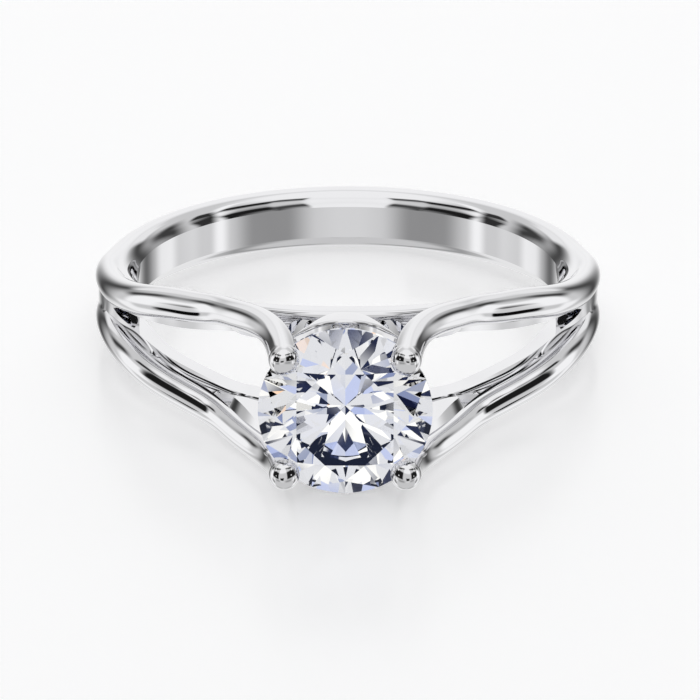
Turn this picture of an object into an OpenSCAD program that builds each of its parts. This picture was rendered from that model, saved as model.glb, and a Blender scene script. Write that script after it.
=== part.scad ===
// Split shank solitaire ring, lying on its side with the stone to the front.
// Millimetres, +Z up, the stone looks along -Y, the middle of the finger hole is the origin.

/* [Finger hoop] */
// radius of the finger hole
finger_r = 8.25; // [7.25:0.05:10.5]
// thickness of the closed band behind the finger, from the hole outwards
band_t = 1.61; // [1.4:0.01:1.7]
// width of the band along the finger
band_w = 2.44; // [2.1:0.01:2.9]
// thickness of the finger rails in front
rail_t = 1.12; // [0.9:0.01:1.25]
// width over both finger rails under the head
rail_span = 4.86; // [4.5:0.01:5.2]

/* [Split] */
// turn from the middle of the head at which the band divides, in degrees
split_deg = 77; // [70:1:84]
// clear width between the two finger rails
slot_w = 2.44; // [2.1:0.01:2.6]

/* [Claw wires] */
// thickness of a claw wire where it leaves the band
wire_d = 1.24; // [1.16:0.01:1.4]
// diameter of the ball at the end of a claw
claw_ball_d = 1.15; // [1.08:0.01:1.3]
// distance of a claw tip from the stone's axis, as a share of the stone's radius
claw_reach = 0.985; // [0.95:0.005:1.02]

/* [Gallery rails] */
// width of a gallery rail along the finger
gallery_w = 0.75; // [0.6:0.01:0.95]

/* [Stone] */
// diameter of the round stone at its girdle
stone_d = 6.5; // [6:0.05:6.9]
// height of the girdle's middle over the finger hole's wall
stone_lift = 5.17; // [4.95:0.01:5.9]
// width of the table, corner to corner, as a share of the diameter
table_share = 0.6; // [0.53:0.01:0.64]
// slope of the crown's main facets in degrees
crown_deg = 34.5; // [32:0.5:36]
// slope of the pavilion's main facets in degrees
pavilion_deg = 40.8; // [39.5:0.1:42]
// thickness of the girdle
girdle_t = 0.2; // [0.12:0.01:0.28]

/* [Hidden] */
turn_step = 5;
wire_sides = 12;
ball_step = 16;
play = 0.03;
bite = 0.2;
edge_lead = 1.4;
claw_cover = 0.78;
web_foot = 0.4;
rail_soft = 0.14;
lower_share = 0.23;
outer_r = finger_r + band_t;
half_band = band_w / 2;
wire_r = wire_d / 2;
stone_r = stone_d / 2;
stone_rise = finger_r + stone_lift;
crown_h = stone_r * (1 - table_share) * tan(crown_deg);
pavilion_h = stone_r * tan(pavilion_deg);
claw_out = stone_rise + claw_cover * crown_h;
claw_side = claw_reach * stone_r / sqrt(2);
tip_r = norm([claw_side, claw_out]);
tip_deg = atan(claw_side / claw_out);
wire_ring = outer_r - wire_r;

// hoop sections: turn, half width (0 band, 1 rails), outer reach in shares of rail_t and of band_t,
// squareness of the outside, height of the soft inner edge as a share of half the band's width
hoop_rows = [
  [0, 1.00, 1.00, 0.00, 7.0, 0.23],
  [12, 0.97, 1.00, 0.00, 7.0, 0.23],
  [24, 0.88, 0.84, 0.00, 6.0, 0.24],
  [36, 0.68, 0.67, 0.00, 5.0, 0.26],
  [48, 0.42, 0.67, 0.00, 4.5, 0.30],
  [60, 0.18, 0.64, 0.02, 4.2, 0.35],
  [69, 0.06, 0.42, 0.22, 4.0, 0.40],
  [77, 0.02, 0.18, 0.55, 3.4, 0.44],
  [85, 0.00, 0.04, 0.84, 2.8, 0.46],
  [94, 0.00, 0.00, 0.96, 2.4, 0.475],
  [106, 0.00, 0.00, 1.00, 2.1, 0.475],
  [120, 0.00, 0.00, 1.00, 2.0, 0.475],
  [150, 0.00, 0.00, 1.00, 2.0, 0.475],
  [180, 0.00, 0.00, 1.00, 2.0, 0.475]];

// soft inner edge of the hoop outside the finger's wall: share of the thickness, share of the edge's height
edge_rows = [
  [0.09, 0.70],
  [0.17, 0.40],
  [0.31, 0.10]];

// slot between the rails: turn as a share of split_deg,
// half height at the finger and at the rails' outside as shares of slot_w / 2
slot_rows = [
  [0.00, 1.00, 1.00],
  [0.15, 1.00, 1.00],
  [0.30, 1.00, 1.04],
  [0.38, 0.97, 0.95],
  [0.47, 0.83, 0.77],
  [0.56, 0.70, 0.60],
  [0.67, 0.58, 0.43],
  [0.80, 0.40, 0.25],
  [0.90, 0.27, 0.17],
  [0.96, 0.19, 0.12],
  [1.00, 0.02, 0.02]];

// claw wire on the hoop: turn as a share of split_deg, reach and radius as shares of wire_r,
// height as a share of claw_side
side_rows = [
  [1.54, -0.75, 0.55, 0.20],
  [1.36, -0.25, 0.74, 0.28],
  [1.20, 0.10, 0.83, 0.345],
  [1.04, 0.12, 0.88, 0.39],
  [0.89, 0.08, 0.95, 0.47],
  [0.73, 0.00, 1.00, 0.62],
  [0.60, -0.14, 1.00, 0.75]];

// claw wire in front: turn as a share of tip_deg, lift as a share of the way from hoop to tip,
// radius as a share of wire_r, height as a share of claw_side
claw_rows = [
  [4.15, 0.00, 0.96, 0.835],
  [3.40, 0.05, 0.92, 0.925],
  [2.65, 0.18, 0.89, 1.025],
  [1.92, 0.36, 0.90, 1.105],
  [1.40, 0.58, 0.91, 1.105],
  [1.14, 0.80, 0.91, 1.05],
  [1.00, 1.00, 0.91, 1.00]];

// web between finger rail and claw wire, for the wire's rows from the place web_from on:
// gap between its corner and the wire's centre line, rise of the corner over the slot, depth inside the wire
web_from = 7;
web_rows = [
  [0.44, 0.05, 0.45],
  [0.34, 0.02, 0.42],
  [0.38, 0.14, 0.38],
  [0.24, 0.48, 0.34],
  [0.20, 0.78, 0.30]];

// gallery rail: stone-side edge across and out, finger-side edge across and out,
// across as shares of claw_side, out as shares of the way from the finger rails to the girdle
gallery_rows = [
  [0.00, 0.21, 0.00, -0.05],
  [0.14, 0.22, 0.21, -0.02],
  [0.28, 0.25, 0.42, 0.10],
  [0.50, 0.34, 0.61, 0.29],
  [0.67, 0.47, 0.76, 0.48],
  [0.80, 0.59, 0.89, 0.64],
  [0.94, 0.74, 1.03, 0.79]];

// smooth curve through the rows of a table at place t
function curve_at(rows, t) =
  let (n = len(rows) - 1)
  let (i = min(n - 1, max(0, floor(t))))
  let (u = t - i)
  let (a = rows[max(0, i - 1)])
  let (b = rows[i])
  let (c = rows[i + 1])
  let (d = rows[min(n, i + 2)])
  b + u * ((c - a) + u * ((2 * a - 5 * b + 4 * c - d) + u * (3 * b - a - 3 * c + d))) / 2;

// place in a table whose first column rises, for the value v
function place(rows, v, i = 0) =
  i >= len(rows) - 2 || v <= rows[i + 1][0]
    ? i + (v - rows[i][0]) / (rows[i + 1][0] - rows[i][0])
    : place(rows, v, i + 1);

// point at a turn from the head, a distance from the finger axis and a height
function around(turn, reach, height) = [reach * sin(turn), -reach * cos(turn), height];

function unit(v) = v / norm(v);

function power(base, share) = sign(base) * pow(abs(base), share);

// one closed section of the hoop: inner edge points, then the rounded outside, top to bottom
function hoop_half(turn) =
  let (row = curve_at(hoop_rows, place(hoop_rows, abs(turn))))
  let (half = half_band + (rail_span / 2 - half_band) * row[1])
  let (thick = rail_t * row[2] + band_t * row[3])
  let (mid = finger_r + thick / 2)
  let (edge = row[5] * half_band)
  concat(
    [[finger_r - bite, half - edge_lead * edge]],
    [for (e = edge_rows) [finger_r + e[0] * thick, half - e[1] * edge]],
    [for (a = [0 : 18 : 90])
      [mid + thick / 2 * power(sin(a), 2 / row[4]), half * power(cos(a), 2 / row[4])]]);

function hoop_ring(turn) =
  let (top = hoop_half(turn))
  let (n = len(top))
  concat(
    [for (p = top) around(turn, p[0], p[1])],
    [for (i = [n - 2 : -1 : 0]) around(turn, top[i][0], -top[i][1])]);

// centre and radius of the right upper claw wire at place t along its tables
wire_rows = concat(
  [for (r = side_rows) [r[0] * split_deg, wire_ring + r[1] * wire_r, r[3] * claw_side, r[2] * wire_r]],
  [for (r = claw_rows)
    [r[0] * tip_deg, wire_ring + r[1] * (tip_r - wire_ring), r[3] * claw_side, r[2] * wire_r]]);

function wire_point(t) =
  let (row = curve_at(wire_rows, t))
  around(row[0], row[1], row[2]);

// round section of that wire at place t, moved on by ahead and of radius r
function wire_ring_at(t, ahead, r) =
  let (step = 0.02)
  let (along = unit(wire_point(t + step) - wire_point(t - step)))
  let (c = wire_point(t) + ahead * along)
  let (side = unit(cross(along, [0, 0, 1])))
  let (up = cross(side, along))
  [for (i = [0 : wire_sides - 1])
    c + r * (cos(360 * i / wire_sides) * side + sin(360 * i / wire_sides) * up)];

// half heights of the slot at a turn: at the finger, at the rails' outside
function slot_half(turn) =
  let (row = curve_at(slot_rows, place(slot_rows, abs(turn) / split_deg)))
  [row[1], row[2]] * slot_w / 2;

// one section of the web at place t of the wire: slot-side face first
function web_ring(t) =
  let (row = curve_at(web_rows, t - web_from))
  let (wire = curve_at(wire_rows, t))
  let (low = slot_half(wire[0])[0] + play)
  let (near = finger_r + web_foot * rail_t)
  [around(wire[0], near, low),
   around(wire[0], near, low + wire_r),
   around(wire[0], wire[1], wire[2] - row[2] * wire_d),
   around(wire[0], wire[1] - row[0], low + row[1])];

// one section of the upper gallery rail at place t, right side for t above 0
function gallery_ring(t) =
  let (row = curve_at(gallery_rows, abs(t)))
  let (way = stone_rise - finger_r - rail_t)
  let (base = finger_r + rail_t)
  let (near = [sign(t) * row[0] * claw_side, -(base + row[1] * way)])
  let (far = [sign(t) * row[2] * claw_side, -(base + row[3] * way)])
  let (top = rail_span / 2)
  let (low = top - gallery_w)
  let (inset = rail_soft * unit(far - near))
  let (a = near + inset)
  let (b = far - inset)
  [[a[0], a[1], top],
   [b[0], b[1], top],
   [far[0], far[1], top - rail_soft],
   [far[0], far[1], low + rail_soft],
   [b[0], b[1], low],
   [a[0], a[1], low],
   [near[0], near[1], low + rail_soft],
   [near[0], near[1], top - rail_soft]];

// solid through a list of sections; loop joins the last to the first
module skin(rings, loop = false) {
  n = len(rings[0]);
  m = len(rings);
  last = loop ? m - 1 : m - 2;
  sides = [
    for (i = [0 : last])
      for (j = [0 : n - 1])
        for (k = [0, 1])
          let (i2 = (i + 1) % m)
          let (j2 = (j + 1) % n)
          k == 0
            ? [i * n + j, i * n + j2, i2 * n + j2]
            : [i * n + j, i2 * n + j2, i2 * n + j]];
  ends = loop ? [] : concat(
    [for (j = [1 : n - 2]) [0, j + 1, j]],
    [for (j = [1 : n - 2]) [(m - 1) * n, (m - 1) * n + j, (m - 1) * n + j + 1]]);
  polyhedron(points = [for (ring = rings) each ring], faces = concat(sides, ends));
}

// the hoop round the finger, closed, before the slot is cut
module hoop() {
  skin([for (turn = [180 : -turn_step : turn_step - 180]) hoop_ring(turn)], true);
}

// what is cut out between the finger rails, its upper and lower face carried on past the rails
module slot() {
  near = finger_r - 2 * bite;
  far = outer_r + wire_r;
  skin([
    for (s = [1 : -0.05 : -1])
      let (turn = s * split_deg)
      let (half = slot_half(turn))
      let (lean = (half[1] - half[0]) / rail_t)
      let (a = half[0] + lean * (near - finger_r))
      let (b = max(play, half[0] + lean * (far - finger_r)))
      [around(turn, near, a),
       around(turn, far, b),
       around(turn, far, -b),
       around(turn, near, -a)]]);
}

// right upper claw wire with its ball
module claw_wire() {
  n = len(wire_rows) - 1;
  ball_r = claw_ball_d / 2;
  start = -acos(min(1, wire_rows[n][3] / ball_r));
  skin(concat(
    [for (i = [0 : n * 2 - 1]) wire_ring_at(i / 2, 0, curve_at(wire_rows, i / 2)[3])],
    [for (a = [start, each [ball_step / 2 : ball_step : 90]])
      wire_ring_at(n, ball_r * sin(a), ball_r * cos(a))]));
}

module web() {
  skin([for (i = [0 : 2 * len(web_rows) - 2]) web_ring(web_from + i / 2)]);
}

module gallery_rail() {
  n = len(gallery_rows) - 1;
  skin([for (i = [-n * 2 : n * 2]) gallery_ring(i / 2)]);
}

// room for the stone, a little larger than the stone and with a corner at each of its girdle's corners
module seat() {
  r = stone_r + play;
  knee_r = stone_r * (1 + table_share * cos(22.5)) / 2;
  knee_h = (stone_r - knee_r * cos(22.5)) * tan(crown_deg);
  rows = [
    [table_share * stone_r + play, girdle_t / 2 + crown_h + play],
    [knee_r + play, girdle_t / 2 + knee_h + play],
    [r, girdle_t / 2 + play],
    [r, -girdle_t / 2 - play],
    [r / 3, -girdle_t / 2 - play - pavilion_h * 2 / 3]];
  translate([0, -stone_rise, 0])
    rotate([90, 0, 0])
      skin([for (row = rows) [for (a = [0 : 11.25 : 348.75]) [row[0] * cos(a), row[0] * sin(a), row[1]]]]);
}

// low points of the band and of the lower claw wires, or of the stone if it hangs lower,
// give the tilt at which the ring lies on its side
back_out = finger_r + 0.5 * band_t;
belly = wire_rows[len(side_rows) + 3];
belly_slope = (belly[2] + belly[3] - half_band) / (belly[1] * cos(belly[0]) + back_out);
stone_slope = (stone_r + play - half_band) / (stone_rise + back_out);
rest_tilt = atan(max(belly_slope, stone_slope));

module at_rest() {
  rotate([-rest_tilt, 0, 0])
    children();
}

module split_shank() {
  color([0.86, 0.87, 0.88])
    at_rest()
      difference() {
        union() {
          difference() {
            hoop();
            slot();
          }
          for (side = [0, 1])
            for (level = [0, 1])
              mirror([side, 0, 0])
                mirror([0, 0, level]) {
                  claw_wire();
                  web();
                }
          for (level = [0, 1])
            mirror([0, 0, level])
              gallery_rail();
        }
        cylinder(r = finger_r, h = 4 * rail_span, center = true, $fn = 180);
        seat();
      }
}

// round brilliant: table, 8 stars, 8 kites, 16 upper and 16 lower halves, 8 mains
module center_stone() {
  n = 8;
  kite = [for (i = [0 : n - 1]) 22.5 + 45 * i];
  table_r = table_share * stone_r;
  star_r = stone_r * (1 + table_share * cos(22.5)) / 2;
  star_h = (stone_r - star_r * cos(22.5)) * tan(crown_deg);
  lower_r = lower_share * stone_r;
  lower_h = (stone_r - lower_r * cos(22.5)) * tan(pavilion_deg);
  rim = [for (i = [0 : 4 * n - 1]) 11.25 * i];
  points = concat(
    [for (a = kite) [table_r * cos(a), table_r * sin(a), girdle_t / 2 + crown_h]],
    [for (a = kite) [star_r * cos(a + 22.5), star_r * sin(a + 22.5), girdle_t / 2 + star_h]],
    [for (a = rim) [stone_r * cos(a), stone_r * sin(a), girdle_t / 2]],
    [for (a = rim) [stone_r * cos(a), stone_r * sin(a), -girdle_t / 2]],
    [for (a = kite) [lower_r * cos(a + 22.5), lower_r * sin(a + 22.5), -girdle_t / 2 - lower_h]],
    [[0, 0, -girdle_t / 2 - pavilion_h]]);
  star = n;
  top = star + n;
  low = top + 4 * n;
  deep = low + 4 * n;
  culet = deep + n;
  faces = concat(
    [[for (i = [n - 1 : -1 : 0]) i]],
    [for (i = [0 : n - 1]) [i, (i + 1) % n, star + i]],
    [for (i = [0 : n - 1]) [i, star + i, top + 4 * i + 2, star + (i + n - 1) % n]],
    [for (i = [0 : n - 1]) [star + i, top + 4 * ((i + 1) % n), top + 4 * i + 3, top + 4 * i + 2]],
    [for (i = [0 : n - 1]) [star + (i + n - 1) % n, top + 4 * i + 2, top + 4 * i + 1, top + 4 * i]],
    [for (i = [0 : 4 * n - 1])
      let (j = (i + 1) % (4 * n))
      [top + i, top + j, low + j, low + i]],
    [for (i = [0 : n - 1]) [culet, deep + (i + n - 1) % n, low + 4 * i + 2, deep + i]],
    [for (i = [0 : n - 1]) [deep + i, low + 4 * i + 2, low + 4 * i + 3, low + 4 * ((i + 1) % n)]],
    [for (i = [0 : n - 1]) [deep + (i + n - 1) % n, low + 4 * i, low + 4 * i + 1, low + 4 * i + 2]]);
  color([0.93, 0.96, 1.0, 0.5])
    at_rest()
      translate([0, -stone_rise, 0])
        rotate([90, 0, 0])
          polyhedron(points = points, faces = faces);
}

split_shank();
center_stone();
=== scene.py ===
import math

import bmesh
import bpy
import numpy as np
from mathutils import Matrix, Vector


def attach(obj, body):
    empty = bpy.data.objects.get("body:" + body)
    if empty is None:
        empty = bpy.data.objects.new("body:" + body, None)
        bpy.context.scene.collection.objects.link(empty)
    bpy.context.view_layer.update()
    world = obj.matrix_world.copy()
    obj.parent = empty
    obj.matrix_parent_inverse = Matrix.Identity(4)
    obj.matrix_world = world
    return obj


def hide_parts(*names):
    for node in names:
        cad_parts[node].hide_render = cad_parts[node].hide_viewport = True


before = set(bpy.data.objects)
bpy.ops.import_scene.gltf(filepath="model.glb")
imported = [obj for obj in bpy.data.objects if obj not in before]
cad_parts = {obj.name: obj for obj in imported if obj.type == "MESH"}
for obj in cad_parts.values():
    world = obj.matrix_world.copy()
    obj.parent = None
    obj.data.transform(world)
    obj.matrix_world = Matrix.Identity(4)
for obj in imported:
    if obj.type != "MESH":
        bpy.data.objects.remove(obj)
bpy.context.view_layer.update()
mm = 0.001


def linearColour(hexCode, alpha=1.0):
    # sRGB hex to the linear values that the shader wants
    parts = [int(hexCode[i:i + 2], 16) / 255 for i in (1, 3, 5)]
    return tuple(c / 12.92 if c <= 0.04045 else ((c + 0.055) / 1.055) ** 2.4 for c in parts) + (alpha,)


def addNode(tree, kind, settings=None, values=None, links=None):
    # one node with its settings, socket values and incoming links
    node = tree.nodes.new(kind)
    for name, value in (settings or {}).items():
        setattr(node, name, value)
    for name, value in (values or {}).items():
        node.inputs[name].default_value = value
    for name, source in (links or {}).items():
        tree.links.new(source, node.inputs[name])
    return node


def spline(knots, rows):
    # C2 curve through the rows, flat reflections need its continuous curvature
    x = np.asarray(knots, float)
    y = np.asarray(rows, float)
    n = len(x)
    h = np.diff(x)
    a = np.zeros((n, n))
    b = np.zeros((n, y.shape[1]))
    a[0, 0] = a[-1, -1] = 1
    for i in range(1, n - 1):
        a[i, i - 1:i + 2] = h[i - 1], 2 * (h[i - 1] + h[i]), h[i]
        b[i] = 6 * ((y[i + 1] - y[i]) / h[i] - (y[i] - y[i - 1]) / h[i - 1])
    m = np.linalg.solve(a, b)

    def at(t):
        t = np.atleast_1d(np.asarray(t, float))
        i = np.clip(np.searchsorted(x, t) - 1, 0, n - 2)
        hi = h[i][:, None]
        lo = (x[i + 1] - t)[:, None]
        up = (t - x[i])[:, None]
        return (m[i] * lo ** 3 + m[i + 1] * up ** 3) / (6 * hi) \
            + (y[i] / hi - m[i] * hi / 6) * lo + (y[i + 1] / hi - m[i + 1] * hi / 6) * up

    return at


def smoothStep(low, high, v):
    u = np.clip((v - low) / (high - low), 0, 1)
    return u * u * (3 - 2 * u)


# the ring's driving sizes in mm
ring = {
    "fingerR": 8.25, "bandT": 1.61, "bandW": 2.44, "railT": 1.12, "railSpan": 4.86,
    "splitDeg": 77, "slotW": 2.44, "wireD": 1.24, "ballD": 1.15, "clawReach": 0.985,
    "galleryW": 0.75, "stoneD": 6.5, "stoneLift": 5.17, "tableShare": 0.6,
    "crownDeg": 34.5, "pavilionDeg": 40.8, "girdleT": 0.2, "play": 0.03, "clawCrown": 0.78,
}
fingerR, bandT, railT = ring["fingerR"], ring["bandT"], ring["railT"]
halfBand = ring["bandW"] / 2
halfSpan = ring["railSpan"] / 2
wireR = ring["wireD"] / 2
stoneR = ring["stoneD"] / 2
stoneRise = fingerR + ring["stoneLift"]
crownH = stoneR * (1 - ring["tableShare"]) * math.tan(math.radians(ring["crownDeg"]))
pavilionH = stoneR * math.tan(math.radians(ring["pavilionDeg"]))
clawOut = stoneRise + ring["clawCrown"] * crownH
clawSide = ring["clawReach"] * stoneR / math.sqrt(2)
tipR = math.hypot(clawSide, clawOut)
tipDeg = math.degrees(math.atan2(clawSide, clawOut))
wireRing = fingerR + bandT - wireR

# hoop sections: turn, half width, reach in railT and in bandT, squareness, soft inner edge
hoopRows = [
    (0, 1.00, 1.00, 0.00, 7.0, 0.23), (12, 0.97, 1.00, 0.00, 7.0, 0.23),
    (24, 0.88, 0.84, 0.00, 6.0, 0.24), (36, 0.68, 0.67, 0.00, 5.0, 0.26),
    (48, 0.42, 0.67, 0.00, 4.5, 0.30), (60, 0.18, 0.64, 0.02, 4.2, 0.35),
    (69, 0.06, 0.42, 0.22, 4.0, 0.40), (77, 0.02, 0.18, 0.55, 3.4, 0.44),
    (85, 0.00, 0.04, 0.84, 2.8, 0.46), (94, 0.00, 0.00, 0.96, 2.4, 0.475),
    (106, 0.00, 0.00, 1.00, 2.1, 0.475), (120, 0.00, 0.00, 1.00, 2.0, 0.475),
    (150, 0.00, 0.00, 1.00, 2.0, 0.475), (180, 0.00, 0.00, 1.00, 2.0, 0.475),
]
# soft inner edge: share of the thickness out, share of the edge's width back from the side
edgeRows = [(0.0, 1.0), (0.09, 0.7), (0.17, 0.4), (0.31, 0.1), (0.5, 0.0)]
outlinePoints = {"edge": 33, "outside": 181}
# slot: turn as a share of splitDeg, half height at the finger and at the rails' outside
slotRows = [
    (0.00, 1.00, 1.00), (0.15, 1.00, 1.00), (0.30, 1.00, 1.04), (0.38, 0.97, 0.95),
    (0.47, 0.83, 0.77), (0.56, 0.70, 0.60), (0.67, 0.58, 0.43), (0.80, 0.40, 0.25),
    (0.90, 0.27, 0.17), (0.96, 0.19, 0.12), (1.00, 0.02, 0.02),
]
slotClose = 1.5  # degrees over which the slot's tip closes
# claw wire: turn, reach over wireRing, height, radius, all in mm and degrees once scaled
sideRows = [
    (1.54, -0.75, 0.55, 0.20), (1.36, -0.25, 0.74, 0.28), (1.20, 0.10, 0.83, 0.345),
    (1.04, 0.12, 0.88, 0.39), (0.89, 0.08, 0.95, 0.47), (0.73, 0.00, 1.00, 0.62),
    (0.60, -0.14, 1.00, 0.75),
]
clawRows = [
    (4.15, 0.00, 0.96, 0.835), (3.40, 0.05, 0.92, 0.925), (2.65, 0.18, 0.89, 1.025),
    (1.92, 0.36, 0.90, 1.105), (1.40, 0.58, 0.91, 1.105), (1.14, 0.80, 0.91, 1.05),
    (1.00, 1.00, 0.91, 1.00),
]
wireRows = [(t * ring["splitDeg"], wireRing + o * wireR, z * clawSide, r * wireR)
            for t, o, r, z in sideRows]
wireRows += [(t * tipDeg, wireRing + o * (tipR - wireRing), z * clawSide, r * wireR)
             for t, o, r, z in clawRows]
# web between finger rail and wire: from the wire's row, gap, rise over the slot, depth in the wire
webFrom = 7
webRows = [(0.44, 0.05, 0.45), (0.34, 0.02, 0.42), (0.38, 0.14, 0.38), (0.24, 0.48, 0.34),
           (0.20, 0.78, 0.30)]
# gallery rail: stone-side edge across and out, finger-side edge across and out
galleryRows = [
    (0.00, 0.21, 0.00, -0.05), (0.14, 0.22, 0.21, -0.02), (0.28, 0.25, 0.42, 0.10),
    (0.50, 0.34, 0.61, 0.29), (0.67, 0.47, 0.76, 0.48), (0.80, 0.59, 0.89, 0.64),
    (0.94, 0.74, 1.03, 0.79),
]

# tilt at which the ring lies on the back of its band and on its two lower arms
backOut = fingerR + bandT / 2
belly = wireRows[len(sideRows) + 3]
bellySlope = (belly[2] + belly[3] - halfBand) / (belly[1] * math.cos(math.radians(belly[0])) + backOut)
restTilt = math.atan(bellySlope)
atRest = Matrix.Rotation(-restTilt, 4, "X") @ Matrix.Scale(mm, 4)


def around(turn, reach, height):
    a = np.radians(turn)
    return np.stack([reach * np.sin(a), -reach * np.cos(a), height * np.ones_like(a)], -1)


def hoopSpline():
    # mirrored at both ends so that the sections change smoothly across head and back
    rows = np.array(hoopRows)
    left = rows[1:3][::-1] * [-1, 1, 1, 1, 1, 1]
    right = rows[-3:-1][::-1].copy()
    right[:, 0] = 360 - right[:, 0]
    rows = np.vstack([left, rows, right])
    return spline(rows[:, 0], rows[:, 1:])


hoopAt = hoopSpline()


def slotSpline():
    rows = np.array(slotRows)
    left = rows[1:3][::-1] * [-1, 1, 1]
    rows = np.vstack([left, rows])
    return spline(rows[:, 0] * ring["splitDeg"], rows[:, 1:])


slotCurve = slotSpline()


def slotHalf(turn):
    # half heights of the slot at the finger and at the rails' outside
    if abs(turn) >= ring["splitDeg"]:
        return 0.0, 0.0
    half = np.clip(slotCurve(abs(turn))[0] * ring["slotW"] / 2, 0, None)
    close = 1 - float(smoothStep(ring["splitDeg"] - slotClose, ring["splitDeg"], abs(turn)))
    return half[0] * close, half[1] * close


def hoopOutline(turn):
    # upper half of the hoop's section cut by the slot: polyline from the slot's finger edge
    # over the top to its outer edge, and the places of its corners
    share, rail, band, square, soft = hoopAt(abs(turn))[0]
    half = halfBand + (halfSpan - halfBand) * share
    thick = railT * rail + bandT * band
    mid = fingerR + thick / 2
    edge = soft * halfBand
    low, lowOut = slotHalf(turn)
    lean = (lowOut - low) / railT
    softRows = [(fingerR + t * thick, half - e * edge) for t, e in edgeRows]
    softCurve = spline(range(len(edgeRows)), softRows)
    inner = [(fingerR, low), (fingerR, half - edge)]
    bend = softCurve(np.linspace(0, len(edgeRows) - 1, outlinePoints["edge"]))[1:]
    a = np.linspace(0, math.pi / 2, outlinePoints["outside"])[1:]
    outer = np.stack([mid + thick / 2 * np.sin(a) ** (2 / square),
                      half * np.cos(a) ** (2 / square)], -1)
    outer[-1] = mid + thick / 2, 0
    line = low + lean * (outer[:, 0] - fingerR)
    over = outer[:, 1] - line
    if low > 0:
        j = int(np.argmax(over < 0))
        u = over[j - 1] / (over[j - 1] - over[j])
        outer = np.vstack([outer[:j], outer[j - 1] + u * (outer[j] - outer[j - 1])])
    corners = inner + [(mid, half), tuple(outer[-1])]
    return np.vstack([inner, bend, outer]), corners


def outlineReach(outline, centre, angles):
    # how far a closed outline lies from centre along each angle
    a = np.vstack([outline, outline[:1]]) - centre
    p, e = a[:-1], np.diff(a, axis=0)
    d = np.stack([np.cos(angles), np.sin(angles)], -1)
    den = d[:, :1] * e[None, :, 1] - d[:, 1:] * e[None, :, 0]
    den = np.where(np.abs(den) < 1e-12, 1e-12, den)
    t = (p[None, :, 0] * e[None, :, 1] - p[None, :, 1] * e[None, :, 0]) / den
    u = (p[None, :, 0] * d[:, 1:] - p[None, :, 1] * d[:, :1]) / den
    t = np.where((u > -1e-6) & (u < 1 + 1e-6) & (t > 0), t, 0)
    return t.max(axis=1)


def rayAngles(marks, counts):
    # angles between the corners' marks, once round
    marks = list(marks) + [marks[0] - 2 * math.pi]
    spans = [np.linspace(marks[i], marks[i + 1], n, endpoint=False) for i, n in enumerate(counts)]
    return np.concatenate(spans)


def ellipseReach(offset, axes, angles):
    # the same for an ellipse whose middle lies at offset from the centre
    d = np.stack([np.cos(angles), np.sin(angles)], -1) / axes
    q = -np.asarray(offset) / axes
    a = (d ** 2).sum(1)
    b = (d * q).sum(1)
    c = (q ** 2).sum() - 1
    return (-b + np.sqrt(np.maximum(b * b - a * c, 0))) / a


def softMax(a, b, k):
    return np.maximum(a, b) + np.maximum(0, k - np.abs(a - b)) ** 2 / (4 * k)


# the arms: band behind, then the claw wire, one quarter of the ring
# up to loneDeg the wire is by itself, from joinDeg on it lies in the hoop
arm = {
    "backStep": 1.25, "stations": 190, "rays": (6, 11, 30, 9), "probe": 0.02, "capStep": 8,
    "joinDeg": 60, "sink": 0.008, "loneDeg": 50, "loneEase": 8, "middleEase": 6, "markEase": (10, 6),
    "loneMarks": (3.75, 2.8, 1.57, -0.7), "blend": 0.16, "tightBlend": 0.012, "blendTurns": (72, 104),
    "ballBlend": 0.02, "margin": 0.12,
}
wirePoints = np.array([around(t, o, z) for t, o, z, r in wireRows]).reshape(-1, 3)
wireKnots = np.concatenate([[0], np.cumsum(np.linalg.norm(np.diff(wirePoints, axis=0), axis=1))])
wireAt = spline(wireKnots, wireRows)


def wireCentre(s):
    row = wireAt(s)
    return around(row[:, 0], row[:, 1], row[:, 2])


def armRing(turn, centre3, wire, tangent):
    # one section: rays over the top from the slot's finger edge to its outer edge, then along the slot
    radial = around(turn, 1.0, 0.0).reshape(3)
    up = np.array([0.0, 0.0, 1.0])
    outline, corners = hoopOutline(turn)
    axes = None
    u, v = radial, up
    reachOut = corners[-1][0] - arm["margin"]
    if wire is not None:
        side = -np.cross(tangent, up)
        side /= np.linalg.norm(side)
        rise = np.cross(tangent, side)
        rise *= np.sign(rise[2])
        lone = 1 - float(smoothStep(arm["loneDeg"] - arm["loneEase"], arm["joinDeg"], turn))
        u = radial + (side - radial) * lone
        v = up + (rise - up) * lone
        u /= np.linalg.norm(u)
        v /= np.linalg.norm(v)
        axes = np.array([wire[3] / (u @ side), wire[3] / (v @ rise)])
    held = min(centre3[0], reachOut)
    free = 1 - float(smoothStep(arm["loneDeg"] - arm["middleEase"], arm["loneDeg"], turn))
    middle = np.array([held + (centre3[0] - held) * free, centre3[1]])
    marks = [math.atan2(z - middle[1], x - middle[0]) for x, z in corners]
    marks = [m + 2 * math.pi if m < 0 and i < 2 else m for i, m in enumerate(marks)]
    early, late = arm["markEase"]
    hold = float(smoothStep(arm["loneDeg"] - early, arm["loneDeg"] + late, turn))
    marks = [f + (m - f) * hold for f, m in zip(arm["loneMarks"], marks)]
    angles = rayAngles(marks, arm["rays"])
    reach = np.zeros(len(angles))
    if turn > arm["loneDeg"]:
        reach = outlineReach(outline, middle, angles)
        sink = arm["sink"] * max(0, arm["joinDeg"] - turn) ** 2
        reach = np.maximum(reach - sink, 0.02)
    if wire is not None:
        wide = float(smoothStep(*arm["blendTurns"], turn))
        k = arm["tightBlend"] + (arm["blend"] - arm["tightBlend"]) * wide
        own = ellipseReach([centre3[0] - middle[0], centre3[1] - middle[1]], axes, angles)
        reach = softMax(reach, own, k) if turn > arm["loneDeg"] else own
    base = around(turn, centre3[0], centre3[1]).reshape(3)
    x = middle[0] - centre3[0] + reach * np.cos(angles)
    z = middle[1] - centre3[1] + reach * np.sin(angles)
    return base + x[:, None] * u + z[:, None] * v


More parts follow.
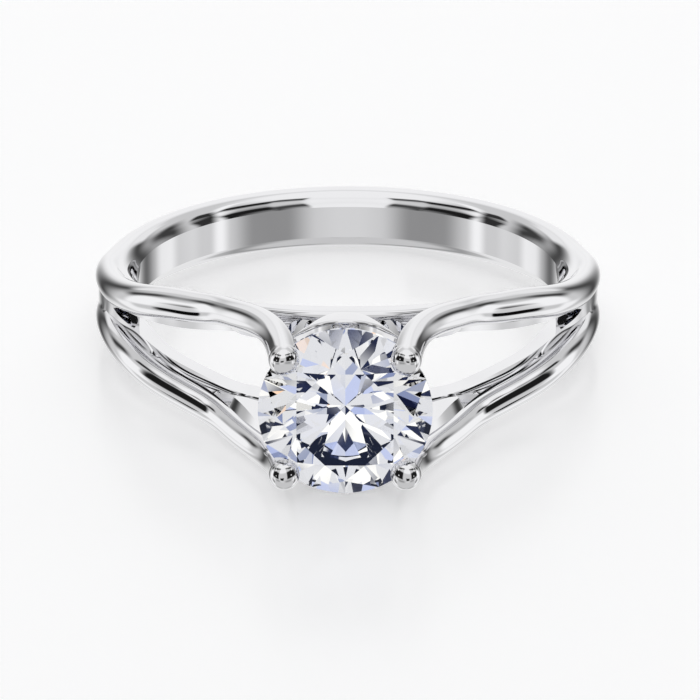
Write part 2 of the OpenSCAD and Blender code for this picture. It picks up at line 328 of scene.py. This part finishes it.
def armRings():
    rings = []
    first = wireAt(0)[0]
    for turn in np.arange(180, first[0], -arm["backStep"]):
        rings.append(armRing(turn, first[1:3], None, None))
    total = wireKnots[-1]
    places = np.linspace(0, total, arm["stations"])
    ballR = ring["ballD"] / 2
    for s in places:
        row = wireAt(s)[0].copy()
        ahead = min(s + arm["probe"], total)
        tangent = (wireCentre(ahead) - wireCentre(ahead - 2 * arm["probe"]))[0]
        tangent /= np.linalg.norm(tangent)
        before = total - s
        if before < ballR:
            row[3] = float(softMax(row[3], math.sqrt(ballR ** 2 - before ** 2), arm["ballBlend"]))
        rings.append(armRing(row[0], row[1:3], row, tangent))
    tip = rings[-1].mean(axis=0)
    last = rings[-1] - tip
    for a in range(arm["capStep"], 89, arm["capStep"]):
        bow = math.radians(a)
        rings.append(tip + tangent * ballR * math.sin(bow) + last * math.cos(bow))
    return rings, tip + tangent * ballR


def loftMesh(name, rings, pole=None, startCap=False, endCap=False):
    n = len(rings[0])
    m = len(rings)
    verts = [tuple(p) for r in rings for p in r]
    faces = []
    for i in range(m - 1):
        for j in range(n):
            a, b = i * n + j, i * n + (j + 1) % n
            faces.append((a, b, b + n, a + n))
    if pole is not None:
        verts.append(tuple(pole))
        faces += [((m - 1) * n + j, (m - 1) * n + (j + 1) % n, len(verts) - 1) for j in range(n)]
    if startCap:
        faces.append(tuple(range(n))[::-1])
    if endCap:
        faces.append(tuple((m - 1) * n + j for j in range(n)))
    mesh = bpy.data.meshes.new(name)
    mesh.from_pydata(verts, [], faces)
    return mesh


def dropSeam(mesh):
    # faces that lie in the plane between the upper and the lower half are inside the metal
    bm = bmesh.new()
    bm.from_mesh(mesh)
    seam = [f for f in bm.faces if all(abs(v.co.z) < 1e-5 for v in f.verts)]
    bmesh.ops.delete(bm, geom=seam, context="FACES")
    bm.to_mesh(mesh)
    bm.free()


# the finger rails: upper one, mirrored for the lower one
rail = {"step": 1.0, "endDeg": 66, "sink": 0.004, "joinDeg": 60, "rays": (5, 12, 26, 4)}


def railRings():
    rings = []
    for turn in np.arange(0, rail["endDeg"] + 0.1, rail["step"]):
        outline, corners = hoopOutline(turn)
        middle = np.array([(corners[0][0] + corners[-1][0]) / 2, (corners[0][1] + corners[2][1]) / 2])
        marks = [math.atan2(z - middle[1], x - middle[0]) for x, z in corners]
        marks = [m + 2 * math.pi if m < 0 and i < 2 else m for i, m in enumerate(marks)]
        angles = rayAngles(marks, rail["rays"])
        reach = outlineReach(outline, middle, angles)
        reach -= rail["sink"] * max(0, turn - rail["joinDeg"]) ** 2
        x = middle[0] + reach * np.cos(angles)
        z = middle[1] + reach * np.sin(angles)
        rings.append(around(np.full(len(x), turn), x, z))
    return rings


# webs between finger rails and claw wires
web = {"stations": 60, "easeIn": 2.6, "inRail": 0.4}


def webRings():
    # the corner rows are splined over the same places as the wire's rows, the first stretch rises
    # out of the groove between rail and wire
    knots = wireKnots[webFrom:webFrom + len(webRows)]
    at = spline(knots, webRows)
    rings = []
    for s in np.linspace(knots[0], knots[-1], web["stations"]):
        gap, rise, depth = at(s)[0]
        turn, reach, height, radius = wireAt(s)[0]
        low = slotHalf(turn)[0] + ring["play"]
        near = fingerR + web["inRail"] * railT
        corners = [(near, low), (near, low + wireR), (reach, height - depth * ring["wireD"])]
        inside = np.mean(corners, axis=0)
        ease = float(smoothStep(knots[0], knots[0] + web["easeIn"], s))
        corners.append(inside + ease * (np.array([reach - gap, low + rise]) - inside))
        rings.append(np.array([around(turn, x, z) for x, z in corners]).reshape(-1, 3))
    return rings


# gallery rails: softened bars bowed from claw to claw
gallery = {"soft": 0.14, "stations": 61, "cornerStep": 15}


def galleryRings():
    rows = np.array(galleryRows)
    left = rows[1:3][::-1] * [-1, 1, -1, 1]
    rows = np.vstack([left, rows])
    at = spline(np.arange(-2, len(galleryRows)), rows)
    way = ring["stoneLift"] - railT
    rings = []
    last = len(galleryRows) - 1
    for t in np.linspace(0, last, gallery["stations"]):
        across, out, across2, out2 = at(t)[0]
        near = np.array([across * clawSide, fingerR + railT + out * way])
        far = np.array([across2 * clawSide, fingerR + railT + out2 * way])
        length = np.linalg.norm(far - near)
        along = (far - near) / length
        width, soft = ring["galleryW"], gallery["soft"]
        points = []
        top, under = halfSpan - soft, halfSpan - width + soft
        for cx, cz, start in ((length - soft, top, 0), (length - soft, under, -90),
                              (soft, under, -180), (soft, top, -270)):
            for a in range(0, 91, gallery["cornerStep"]):
                w = math.radians(start - a + 90)
                p = near + along * (cx + soft * math.cos(w))
                points.append((p[0], -p[1], cz + soft * math.sin(w)))
        rings.append(np.array(points))
    return rings


def mirrorTree():
    # copies one quarter of the metal to the left and below, welded where they meet
    tree = bpy.data.node_groups.new("mirrorQuarters", "GeometryNodeTree")
    for name, kind in (("Quarter", "Geometry"), ("Left copy", "Bool"), ("Weld distance", "Float"),
                       ("Metal", "Material")):
        tree.interface.new_socket(name, in_out="INPUT", socket_type="NodeSocket" + kind)
    tree.interface.new_socket("Ring", in_out="OUTPUT", socket_type="NodeSocketGeometry")
    start = addNode(tree, "NodeGroupInput")
    half = start.outputs["Quarter"]
    for scale, switch in (((-1, 1, 1), start.outputs["Left copy"]), ((1, 1, -1), None)):
        copy = addNode(tree, "GeometryNodeTransform", values={"Scale": scale}, links={"Geometry": half})
        turned = addNode(tree, "GeometryNodeFlipFaces", links={"Mesh": copy.outputs["Geometry"]})
        both = addNode(tree, "GeometryNodeJoinGeometry", links={"Geometry": half})
        source = turned.outputs["Mesh"]
        if switch is not None:
            pick = addNode(tree, "GeometryNodeSwitch", {"input_type": "GEOMETRY"},
                           links={"Switch": switch, "True": source})
            source = pick.outputs["Output"]
        tree.links.new(source, both.inputs["Geometry"])
        half = both.outputs["Geometry"]
    weld = addNode(tree, "GeometryNodeMergeByDistance",
                   links={"Geometry": half, "Distance": start.outputs["Weld distance"]})
    whole = addNode(tree, "GeometryNodeRealizeInstances", links={"Geometry": weld.outputs["Geometry"]})
    dress = addNode(tree, "GeometryNodeSetMaterial",
                    links={"Geometry": whole.outputs["Geometry"], "Material": start.outputs["Metal"]})
    addNode(tree, "NodeGroupOutput", links={"Ring": dress.outputs["Geometry"]})
    return tree


def runTree(name, mesh, tree, inputs):
    # the tree's result as a plain mesh, its inputs set by socket identifier
    holder = bpy.data.objects.new(name + "Holder", mesh)
    bpy.context.collection.objects.link(holder)
    modifier = holder.modifiers.new("nodes", "NODES")
    modifier.node_group = tree
    sockets = {item.name: item.identifier for item in tree.interface.items_tree if item.in_out == "INPUT"}
    for label, value in inputs.items():
        modifier[sockets[label]] = value
    holder.update_tag()
    bpy.context.view_layer.update()
    result = bpy.data.meshes.new_from_object(holder.evaluated_get(bpy.context.evaluated_depsgraph_get()))
    bpy.data.objects.remove(holder)
    result.name = name
    return result


# the stone: every facet is a plane that cuts a round blank
stone = {"rimSegments": 160, "mains": 8, "lowerShare": 0.23, "topRoom": 0.4}


def stonePlanes():
    # points of each facet in the stone's own frame, +Z out of the table
    table = ring["tableShare"] * stoneR
    half = ring["girdleT"] / 2
    flat = math.cos(math.pi / stone["mains"])
    starR = stoneR * (1 + ring["tableShare"] * flat) / 2
    starZ = half + (stoneR - starR * flat) * math.tan(math.radians(ring["crownDeg"]))
    lowR = stone["lowerShare"] * stoneR
    lowZ = -half - (stoneR - lowR * flat) * math.tan(math.radians(ring["pavilionDeg"]))

    def point(r, deg, z):
        return Vector((r * math.cos(math.radians(deg)), r * math.sin(math.radians(deg)), z))

    top = half + crownH
    planes = [(point(0, 0, top), Vector((0, 0, 1)))]
    step = 360 / stone["mains"]
    side = step / 2
    for i in range(stone["mains"]):
        main = side + step * i
        rim, rimLow = point(stoneR, main, half), point(stoneR, main, -half)
        starTip, lowTip = point(starR, main + side, starZ), point(lowR, main + side, lowZ)
        triples = [
            (point(table, main, top), rim, starTip),
            (point(table, main, top), starTip, point(table, main + step, top)),
            (starTip, rim, point(stoneR, main + side, half)),
            (point(starR, main - side, starZ), rim, point(stoneR, main - side, half)),
            (point(0, 0, -half - pavilionH), rimLow, lowTip),
            (lowTip, rimLow, point(stoneR, main + side, -half)),
            (point(lowR, main - side, lowZ), rimLow, point(stoneR, main - side, -half)),
        ]
        for p, q, r in triples:
            normal = (q - p).cross(r - p).normalized()
            planes.append((p, normal if normal.dot(p) > 0 else -normal))
    return planes


def stoneMesh():
    bm = bmesh.new()
    depth = pavilionH + crownH + ring["girdleT"] + 2 * stone["topRoom"]
    middle = (crownH - pavilionH) / 2
    bmesh.ops.create_cone(bm, cap_ends=True, segments=stone["rimSegments"], radius1=stoneR,
                          radius2=stoneR, depth=depth, matrix=Matrix.Translation((0, 0, middle)))
    for place, normal in stonePlanes():
        geom = bm.verts[:] + bm.edges[:] + bm.faces[:]
        cut = bmesh.ops.bisect_plane(bm, geom=geom, dist=1e-6, plane_co=place, plane_no=normal,
                                     clear_outer=True)
        rim = [e for e in cut["geom_cut"] if isinstance(e, bmesh.types.BMEdge)]
        if rim:
            bmesh.ops.contextual_create(bm, geom=rim)
    bmesh.ops.remove_doubles(bm, verts=bm.verts, dist=1e-5)
    bmesh.ops.recalc_face_normals(bm, faces=bm.faces)
    girdle = [f for f in bm.faces if abs(f.normal.z) < 0.05]
    for f in bm.faces:
        f.smooth = f in girdle
    for e in bm.edges:
        e.smooth = all(f in girdle for f in e.link_faces)
    place = atRest @ Matrix.Translation((0, -stoneRise, 0)) @ Matrix.Rotation(math.pi / 2, 4, "X")
    bmesh.ops.transform(bm, matrix=place, verts=bm.verts)
    mesh = bpy.data.meshes.new("centerStoneFacets")
    bm.to_mesh(mesh)
    bm.free()
    return mesh


def joined(name, meshes):
    bm = bmesh.new()
    for m in meshes:
        bm.from_mesh(m)
    mesh = bpy.data.meshes.new(name)
    bm.to_mesh(mesh)
    bm.free()
    return mesh


metalFinish = {"weld": 1e-4, "sharpDeg": 32}


def metalMesh(material):
    tree = mirrorTree()
    rings, pole = armRings()
    arms = loftMesh("arms", rings, pole=pole)
    dropSeam(arms)
    rails = loftMesh("rails", railRings(), endCap=True)
    webs = loftMesh("webs", webRings(), startCap=True, endCap=True)
    bars = loftMesh("bars", galleryRings(), endCap=True)
    quarter = joined("quarter", [arms, rails, webs, bars])
    whole = runTree("splitShankMetal", quarter, tree,
                    {"Left copy": True, "Weld distance": metalFinish["weld"], "Metal": material})
    bm = bmesh.new()
    bm.from_mesh(whole)
    bmesh.ops.recalc_face_normals(bm, faces=bm.faces)
    for f in bm.faces:
        f.smooth = True
    bmesh.ops.transform(bm, matrix=atRest, verts=bm.verts)
    bm.to_mesh(whole)
    bm.free()
    whole.set_sharp_from_angle(angle=math.radians(metalFinish["sharpDeg"]))
    return whole


def setSocket(shader, values):
    for name, value in values.items():
        shader.inputs[name].default_value = value


polish = {"roughness": (0.022, 0.042), "patch": 0.4 * mm}


def whiteGold():
    # rhodium plated white gold, mirror polished: shows the studio almost unchanged, a little cool;
    # buffing leaves patches of slightly softer gloss
    mat = bpy.data.materials.new("polishedRhodiumOnWhiteGold")
    mat.use_nodes = True
    shader = mat.node_tree.nodes["Principled BSDF"]
    setSocket(shader, {"Base Color": linearColour("#f1f1f3"), "Metallic": 1.0})
    look = addNode(mat.node_tree, "ShaderNodeTexCoord")
    patches = addNode(mat.node_tree, "ShaderNodeTexNoise",
                      values={"Scale": 1 / polish["patch"], "Detail": 2.0},
                      links={"Vector": look.outputs["Object"]})
    softer = addNode(mat.node_tree, "ShaderNodeMapRange",
                     values={"To Min": polish["roughness"][0], "To Max": polish["roughness"][1]},
                     links={"Value": patches.outputs["Fac"]})
    mat.node_tree.links.new(softer.outputs["Result"], shader.inputs["Roughness"])
    return mat


def diamond():
    # cut diamond: clear, very high index, so the facets throw back bright and dark patches; a polished
    # facet has no grain of its own
    mat = bpy.data.materials.new("cutDiamond")
    mat.use_nodes = True
    shader = mat.node_tree.nodes["Principled BSDF"]
    setSocket(shader, {"Base Color": linearColour("#ffffff"), "Roughness": 0.0, "IOR": 2.417,
                       "Transmission Weight": 1.0, "Specular Tint": linearColour("#5d6b96")})
    return mat


def addPiece(name, mesh, node):
    piece = bpy.data.objects.new(name, mesh)
    bpy.context.collection.objects.link(piece)
    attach(piece, "root")
    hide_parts(node)
    return piece


gold = whiteGold()
metal = addPiece("splitShankPolished", metalMesh(gold), "split_shank")
print("scene: metal", len(metal.data.polygons), "faces")
gem = addPiece("centerStoneCut", stoneMesh(), "center_stone")
gem.data.materials.append(diamond())
print("scene: stone", len(gem.data.polygons), "facets")

# the camera: fitted to the photograph through the middle of the finger hole
shot = {"away": 260.0, "elevationDeg": 19.49, "yawDeg": 0.44, "pxPerMm": 25.586, "holeX": 348.0,
        "holeY": 290.4, "frame": 700, "sensor": 36.0, "clip": (0.01, 10)}


def addCamera():
    f = shot["pxPerMm"] * shot["away"]
    e, yaw = math.radians(shot["elevationDeg"]), math.radians(shot["yawDeg"])
    out = Vector((math.sin(yaw) * math.cos(e), -math.cos(yaw) * math.cos(e), math.sin(e)))
    across = Vector((math.cos(yaw), math.sin(yaw), 0))
    up = out.cross(across)
    aimX = (shot["holeX"] - shot["frame"] / 2) / f
    aimY = -(shot["holeY"] - shot["frame"] / 2) / f
    back = (out + aimX * across + aimY * up).normalized()
    across = (across - back * across.dot(back)).normalized()
    up = back.cross(across)
    axes = Matrix((across, up, back)).transposed()
    turned = Matrix.Rotation(-restTilt, 3, "X")
    cam = bpy.data.cameras.new("photoCamera")
    cam.sensor_width = shot["sensor"]
    cam.lens = f * shot["sensor"] / shot["frame"]
    cam.clip_start, cam.clip_end = shot["clip"]
    obj = bpy.data.objects.new("photoCamera", cam)
    bpy.context.collection.objects.link(obj)
    obj.matrix_world = Matrix.Translation(turned @ out * shot["away"] * mm) @ (turned @ axes).to_4x4()
    bpy.context.scene.camera = obj


addCamera()

# the studio as the polished metal sees it, alike on both sides. Each card: middle round from the
# camera and up from the floor, half width, half height, lean, soft edge, all in degrees, brightness
cards = {
    "floorGrey": (90, -60, 200, 43, 0, 15, 0.62),
    "wall": (90, 19, 200, 40, 0, 19, 0.64),
    "floorFar": (138, -67, 26, 7, -18, 15, 0.34),
    "floorRim": (114, -47, 16, 7, -21, 12, 0.98),
    "backWhite": (176, 14, 11, 40, 0, 20, 0.96),
    "backDark": (146, -4, 10, 25, 0, 20, 0.07),
    "sideWhite": (104, 0, 13, 18, 0, 9, 1.0),
    "backHigh": (153, 25, 12, 8, 0, 8, 0.88),
    "sideLow": (117, -32, 9, 13, -10, 10, 0.97),
    "floorBack": (160, -46, 24, 14, 0, 14, 0.86),
    "streak": (121.5, 19, 7.5, 12.5, 30, 13, 0.05),
    "sideSlot": (99, 38, 9, 5.5, -21, 5, 0.03),
    "stripHigh": (102, 50, 17, 4, 31, 7, 1.0),
    "opening": (63, 19, 29.5, 20.5, 0, 7, 0.012),
    "frontHigh": (8, 50, 26, 12, 0, 12, 0.95),
    "openingTop": (77, 50.5, 17.5, 5, -20, 6, 0.012),
    "openingFar": (50, 60, 14, 4, -8, 6, 0.06),
    "strip": (83, 37, 7.5, 4.5, 0, 6, 1.0),
    "frontLow": (43, -15, 18, 7, 0, 18, 0.28),
    "frontMiddle": (0, -15, 13, 9, 0, 18, 0.72),
    "frontWhite": (74, -16, 4, 9, 0, 7, 1.0),
    "lowDark": (90.5, -32, 4, 9.5, 12, 3, 0.003),
    "lens": (0, 4, 15, 8, 0, 5, 0.012),
    "dot": (60, 13, 3, 3, 0, 2, 1.0),
}
studio = {"overhead": 0.95}


def math2(tree, operation, a, b=None, c=None):
    # a Math node whose inputs are sockets or plain numbers
    node = addNode(tree, "ShaderNodeMath", {"operation": operation})
    for i, value in enumerate((a, b, c)):
        if isinstance(value, (int, float)):
            node.inputs[i].default_value = value
        elif value is not None:
            tree.links.new(value, node.inputs[i])
    return node.outputs[0]


def turnAndRise(tree, direction, mirrored):
    # degrees round from the camera side and up from the floor
    parts = addNode(tree, "ShaderNodeSeparateXYZ", links={"Vector": direction})
    side = parts.outputs["X"]
    if mirrored:
        side = math2(tree, "ABSOLUTE", side)
    ahead = math2(tree, "MULTIPLY", parts.outputs["Y"], -1)
    turn = math2(tree, "DEGREES", math2(tree, "ARCTAN2", side, ahead))
    rise = math2(tree, "DEGREES", math2(tree, "ARCSINE", parts.outputs["Z"]))
    return addNode(tree, "ShaderNodeCombineXYZ", links={"X": turn, "Y": rise}).outputs["Vector"]


def edgeMask(tree, source, half, soft):
    away = math2(tree, "ABSOLUTE", source)
    ramp = addNode(tree, "ShaderNodeMapRange", {"interpolation_type": "SMOOTHSTEP"},
                   {"From Min": half - soft / 2, "From Max": half + soft / 2,
                    "To Min": 1.0, "To Max": 0.0},
                   {"Value": away})
    return ramp.outputs["Result"]


def cardMask(tree, place, label, card):
    az, el, width, height, lean, soft = card
    moved = addNode(tree, "ShaderNodeMapping", {"vector_type": "TEXTURE", "label": label},
                    {"Location": (az, el, 0), "Rotation": (0, 0, math.radians(lean))}, {"Vector": place})
    axes = addNode(tree, "ShaderNodeSeparateXYZ", links={"Vector": moved.outputs["Vector"]})
    return math2(tree, "MULTIPLY", edgeMask(tree, axes.outputs["X"], width, soft),
                 edgeMask(tree, axes.outputs["Y"], height, soft))


def studioWorld():
    world = bpy.data.worlds.new("softStudio")
    bpy.context.scene.world = world
    world.use_nodes = True
    tree = world.node_tree
    look = addNode(tree, "ShaderNodeTexCoord")
    place = turnAndRise(tree, look.outputs["Generated"], True)
    value = studio["overhead"]
    for label, card in cards.items():
        mask = cardMask(tree, place, label, card[:6])
        value = math2(tree, "MULTIPLY_ADD", mask, math2(tree, "SUBTRACT", card[6], value), value)
    tree.links.new(value, tree.nodes["Background"].inputs["Color"])


# the floor: white acrylic really lit by the studio, plus an even glow that is painted light, lifting the
# floor and lightening the ring's shade on it
ground = {"half": 1.5, "colour": "#f5f5f6", "roughness": 0.22, "ior": 1.45, "glow": 0.335}

# the stone alone looks into a dome with its own cards: as above, then colour and brightness
sparkle = {
    "lavenderLow": (-6, -15, 7, 6, 0, 3, "#c5cff5", 1.0),
    "lavenderSide": (32, 37, 8, 7, 20, 4, "#c5cff5", 1.0),
    "lavenderMiddle": (-23, 9, 5, 7, 0, 3, "#b9c5f2", 0.95),
    "lavenderUp": (-1, 29, 4, 4, 0, 3, "#c9d2f4", 1.0),
    "greyNear": (-9, 22, 4, 5, 15, 3, "#8f9bc6", 0.85),
    "greyRight": (9, -7, 5, 6, -20, 3, "#9ea8c8", 0.9),
    "greyLeft": (-29, 28, 6, 7, 0, 3, "#8f9bc6", 0.9),
    "greyWide": (20, 8, 5, 7, 10, 3, "#a3adcf", 0.95),
    "greyHigh": (4, 42, 8, 5, 0, 3, "#aab1ca", 0.95),
    "greyLow": (-31, -15, 8, 7, 0, 4, "#a3adcf", 0.95),
    "greyFar": (-48, 40, 9, 8, 0, 4, "#8f9bc6", 0.9),
    "whiteRight": (8, 16, 6, 7, 0, 3, "#ffffff", 1.12),
    "whiteLeft": (-16, 14, 5, 9, 15, 3, "#ffffff", 1.12),
    "whiteLow": (20, -13, 9, 7, 0, 3, "#ffffff", 1.12),
    "whiteHigh": (34, 20, 8, 7, 0, 3, "#ffffff", 1.12),
    "whiteTop": (-22, 52, 12, 6, 0, 3, "#ffffff", 1.12),
    "whiteSide": (-52, 4, 9, 9, 0, 4, "#ffffff", 1.12),
    "navyMiddle": (1, 8, 6, 6, 30, 2, "#1b2140", 0.5),
    "navyLow": (-17, -7, 6, 6, 10, 2, "#1b2140", 0.5),
    "navyRight": (15, 23, 6, 6, -20, 2, "#1b2140", 0.5),
    "navyHigh": (-15, 42, 7, 6, 0, 2, "#232b52", 0.5),
    "navySide": (31, 2, 6, 8, 0, 2, "#1b2140", 0.5),
    "navyLeft": (-41, 14, 8, 7, 0, 3, "#232b52", 0.5),
    "navyFront": (12, -23, 9, 6, 0, 3, "#1b2140", 0.5),
    "navyTop": (22, 55, 10, 6, 0, 3, "#232b52", 0.5),
    "navyFar": (54, 30, 9, 10, 0, 3, "#232b52", 0.5),
    "navyEdge": (-68, 24, 7, 9, 0, 3, "#232b52", 0.5),
    "peachHigh": (-5, 54, 4, 4, 0, 2, "#ffd9bb", 1.1),
    "peachSide": (43, 14, 3, 4, 0, 2, "#ffd9bb", 1.1),
}
dome = {"radius": 0.05, "segments": 48, "colour": "#f1f3fb", "brightness": 0.88}


def sparkleDome():
    bm = bmesh.new()
    bmesh.ops.create_uvsphere(bm, u_segments=dome["segments"], v_segments=dome["segments"] // 2,
                              radius=dome["radius"])
    mesh = bpy.data.meshes.new("sparkleDome")
    bm.to_mesh(mesh)
    bm.free()
    obj = bpy.data.objects.new("sparkleDome", mesh)
    bpy.context.collection.objects.link(obj)
    obj.location = atRest @ Vector((0, -stoneRise, 0))
    obj.visible_camera = obj.visible_glossy = obj.visible_diffuse = obj.visible_shadow = False
    mat = bpy.data.materials.new("litSilk")
    mat.use_nodes = True
    tree = mat.node_tree
    tree.nodes.remove(tree.nodes["Principled BSDF"])
    look = addNode(tree, "ShaderNodeTexCoord")
    ray = addNode(tree, "ShaderNodeVectorMath", {"operation": "NORMALIZE"},
                  links={"Vector": look.outputs["Object"]})
    place = turnAndRise(tree, ray.outputs["Vector"], False)
    colour = None
    for label, card in sparkle.items():
        mix = addNode(tree, "ShaderNodeMix", {"data_type": "RGBA"})
        tree.links.new(cardMask(tree, place, label, card[:6]), mix.inputs["Factor"])
        ends = [i for i in mix.inputs if i.type == "RGBA"]
        if colour is None:
            ends[0].default_value = [dome["brightness"] * c for c in linearColour(dome["colour"])]
        else:
            tree.links.new(colour, ends[0])
        ends[1].default_value = [card[7] * c for c in linearColour(card[6])]
        colour = next(o for o in mix.outputs if o.type == "RGBA")
    glow = addNode(tree, "ShaderNodeEmission", links={"Color": colour})
    tree.links.new(glow.outputs["Emission"], tree.nodes["Material Output"].inputs["Surface"])
    mesh.materials.append(mat)
    return obj


def addFloor():
    low = min((metal.matrix_world @ v.co).z for v in metal.data.vertices)
    mesh = bpy.data.meshes.new("paleFloor")
    h = ground["half"]
    mesh.from_pydata([(-h, -h, low), (h, -h, low), (h, h, low), (-h, h, low)], [], [(0, 1, 2, 3)])
    floor = bpy.data.objects.new("paleFloor", mesh)
    bpy.context.collection.objects.link(floor)
    floor.visible_glossy = floor.visible_transmission = False
    mat = bpy.data.materials.new("whiteAcrylicWithPaintedGlow")
    mat.use_nodes = True
    shader = mat.node_tree.nodes["Principled BSDF"]
    setSocket(shader, {"Base Color": linearColour(ground["colour"]), "Roughness": ground["roughness"],
                       # emission here is painted light: a glow that brightens the floor and the shade
                       # under the ring; colour, roughness and IOR are the acrylic's own
                       "IOR": ground["ior"], "Emission Color": (1, 1, 1, 1),
                       "Emission Strength": ground["glow"]})
    mesh.materials.append(mat)
    return floor


studioWorld()
floor = addFloor()
silk = sparkleDome()
bpy.context.scene.view_settings.view_transform = "Standard"
print("scene: studio and floor ready")
